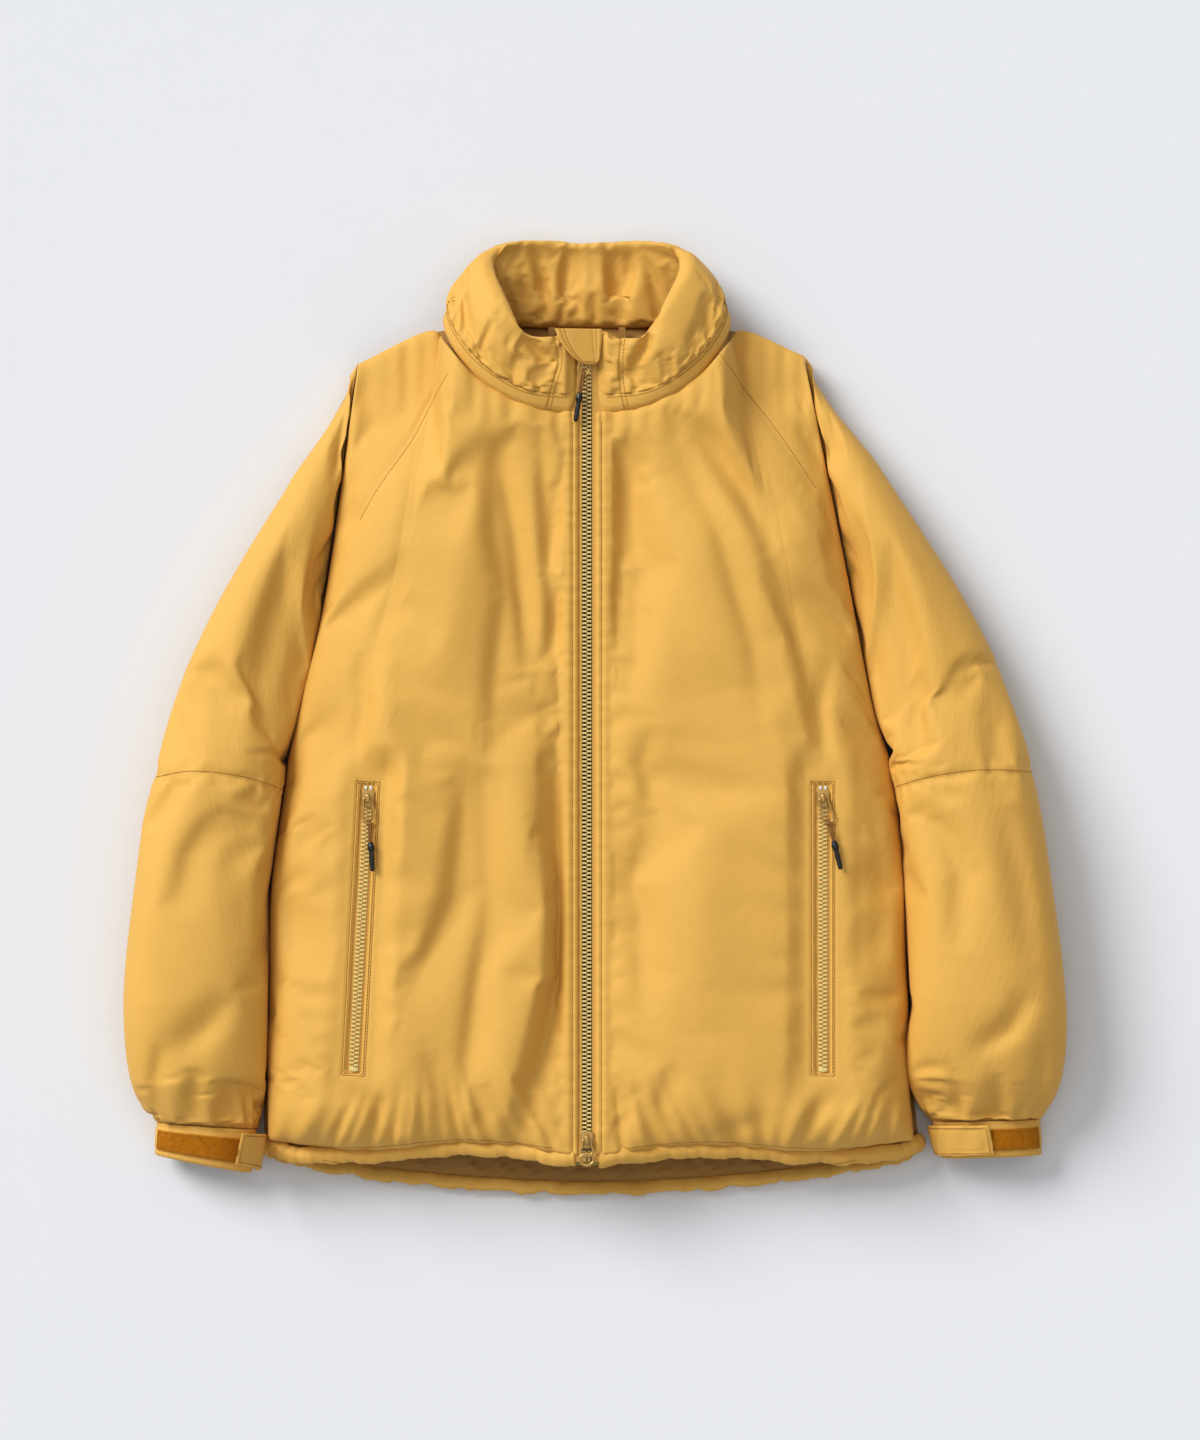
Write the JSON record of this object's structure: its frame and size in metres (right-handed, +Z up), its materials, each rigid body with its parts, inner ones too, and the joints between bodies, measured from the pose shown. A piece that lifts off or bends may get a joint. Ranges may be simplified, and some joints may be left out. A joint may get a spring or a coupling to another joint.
{
  "type": "padded zip jacket",
  "caption": "Padded zip-front jacket with a stand collar, raglan sleeves, zipped hand pockets and hook-and-loop cuffs, laid flat on its back.",
  "frame": {"origin": "middle of the footprint, on the surface the jacket lies on", "axes": "+Z up from the surface, +Y from the hem to the collar, +X towards the wearer's left sleeve"},
  "size_m": [0.821, 0.8396, 0.09],
  "materials": {
    "outer_cloth": "matte woven",
    "inner_cloth": "matte woven",
    "wadding": "matte",
    "zip_cloth": "matte woven",
    "tooth_plastic": "satin",
    "pull_metal": "satin",
    "cord": "braided",
    "cord_end": "satin",
    "hook_and_loop": "fuzzy",
    "elastic": "matte",
    "film": "satin"
  },
  "bodies": {
    "garment": {"back_shell": "outer_cloth", "hem_channel": "outer_cloth", "neck_band": "outer_cloth", "collar_shell": "outer_cloth", "collar_lining": "outer_cloth", "zip_garage": "outer_cloth", "storm_flap": "outer_cloth", "back_lining": "inner_cloth", "hanger_loop": "inner_cloth", "back_fill": "wadding", "collar_fill": "wadding", "hem_elastic": "elastic", "zip_end_film": "film", "right_front_shell": "outer_cloth", "right_upper_sleeve": "outer_cloth", "right_forearm": "outer_cloth", "right_cuff": "outer_cloth", "right_front_lining": "inner_cloth", "right_sleeve_lining": "inner_cloth", "right_pocket_bag": "inner_cloth", "right_front_fill": "wadding", "right_sleeve_fill": "wadding", "right_loop_strip": "hook_and_loop", "right_zip_tape": "zip_cloth", "right_pocket_zip": "zip_cloth", "right_zip_teeth": "tooth_plastic", "left_front_shell": "outer_cloth", "left_upper_sleeve": "outer_cloth", "left_forearm": "outer_cloth", "left_cuff": "outer_cloth", "left_front_lining": "inner_cloth", "left_sleeve_lining": "inner_cloth", "left_pocket_bag": "inner_cloth", "left_front_fill": "wadding", "left_sleeve_fill": "wadding", "left_loop_strip": "hook_and_loop", "left_zip_tape": "zip_cloth", "left_pocket_zip": "zip_cloth", "left_zip_teeth": "tooth_plastic", "retainer_box": "pull_metal", "insertion_pin": "pull_metal"},
    "top_slider": {"top_slider": "pull_metal"},
    "top_pull": {"top_pull_ring": "pull_metal", "top_pull_cord": "cord", "top_cord_end": "cord_end"},
    "bottom_slider": {"bottom_slider": "pull_metal"},
    "bottom_pull": {"bottom_pull_tab": "pull_metal"},
    "right_pocket_slider": {"right_pocket_slider": "pull_metal"},
    "right_pocket_pull": {"right_pocket_pull_ring": "pull_metal", "right_pocket_pull_cord": "cord", "right_pocket_pull_cord_end": "cord_end"},
    "right_tab": {"right_cuff_tab": "outer_cloth", "right_tab_hook": "hook_and_loop"},
    "left_pocket_slider": {"left_pocket_slider": "pull_metal"},
    "left_pocket_pull": {"left_pocket_pull_ring": "pull_metal", "left_pocket_pull_cord": "cord", "left_pocket_pull_cord_end": "cord_end"},
    "left_tab": {"left_cuff_tab": "outer_cloth", "left_tab_hook": "hook_and_loop"}
  },
  "joints": [
    {"name": "top_slider_slide", "type": "slide", "parent": "garment", "child": "top_slider", "axis": [0, -1, 0], "range_m": [0, 0.61]},
    {"name": "top_pull_swing", "type": "hinge", "parent": "top_slider", "child": "top_pull", "pos_m": [-0.0075, 0.322, 0.0736], "axis": [-1, 0, 0], "range_deg": [0, 12]},
    {"name": "bottom_slider_slide", "type": "slide", "parent": "garment", "child": "bottom_slider", "axis": [0, 1, 0], "range_m": [0, 0.6]},
    {"name": "bottom_pull_swing", "type": "hinge", "parent": "bottom_slider", "child": "bottom_pull", "pos_m": [-0.0075, -0.3695, 0.0736], "axis": [-1, 0, 0], "range_deg": [0, 165]},
    {"name": "right_pocket_slide", "type": "slide", "parent": "garment", "child": "right_pocket_slider", "axis": [-0.0523, -0.9986, 0], "range_m": [0, 0.205]},
    {"name": "right_pocket_pull_swing", "type": "hinge", "parent": "right_pocket_slider", "child": "right_pocket_pull", "pos_m": [-0.1991, -0.07048, 0.0801], "axis": [-0.9986, 0.0523, 0], "range_deg": [0, 165]},
    {"name": "left_pocket_slide", "type": "slide", "parent": "garment", "child": "left_pocket_slider", "axis": [0, -1, 0], "range_m": [0, 0.205]},
    {"name": "left_pocket_pull_swing", "type": "hinge", "parent": "left_pocket_slider", "child": "left_pocket_pull", "pos_m": [0.199, -0.0705, 0.0801], "axis": [-1, 0, 0], "range_deg": [0, 165]},
    {"name": "right_tab_swing", "type": "hinge", "parent": "garment", "child": "right_tab", "pos_m": [-0.29767, -0.38314, 0.02221], "axis": [0, 1, 0], "range_deg": [-47, 0]},
    {"name": "left_tab_swing", "type": "hinge", "parent": "garment", "child": "left_tab", "pos_m": [0.29766, -0.37275, 0.02221], "axis": [0, -1, 0], "range_deg": [0, 78]}
  ]
}
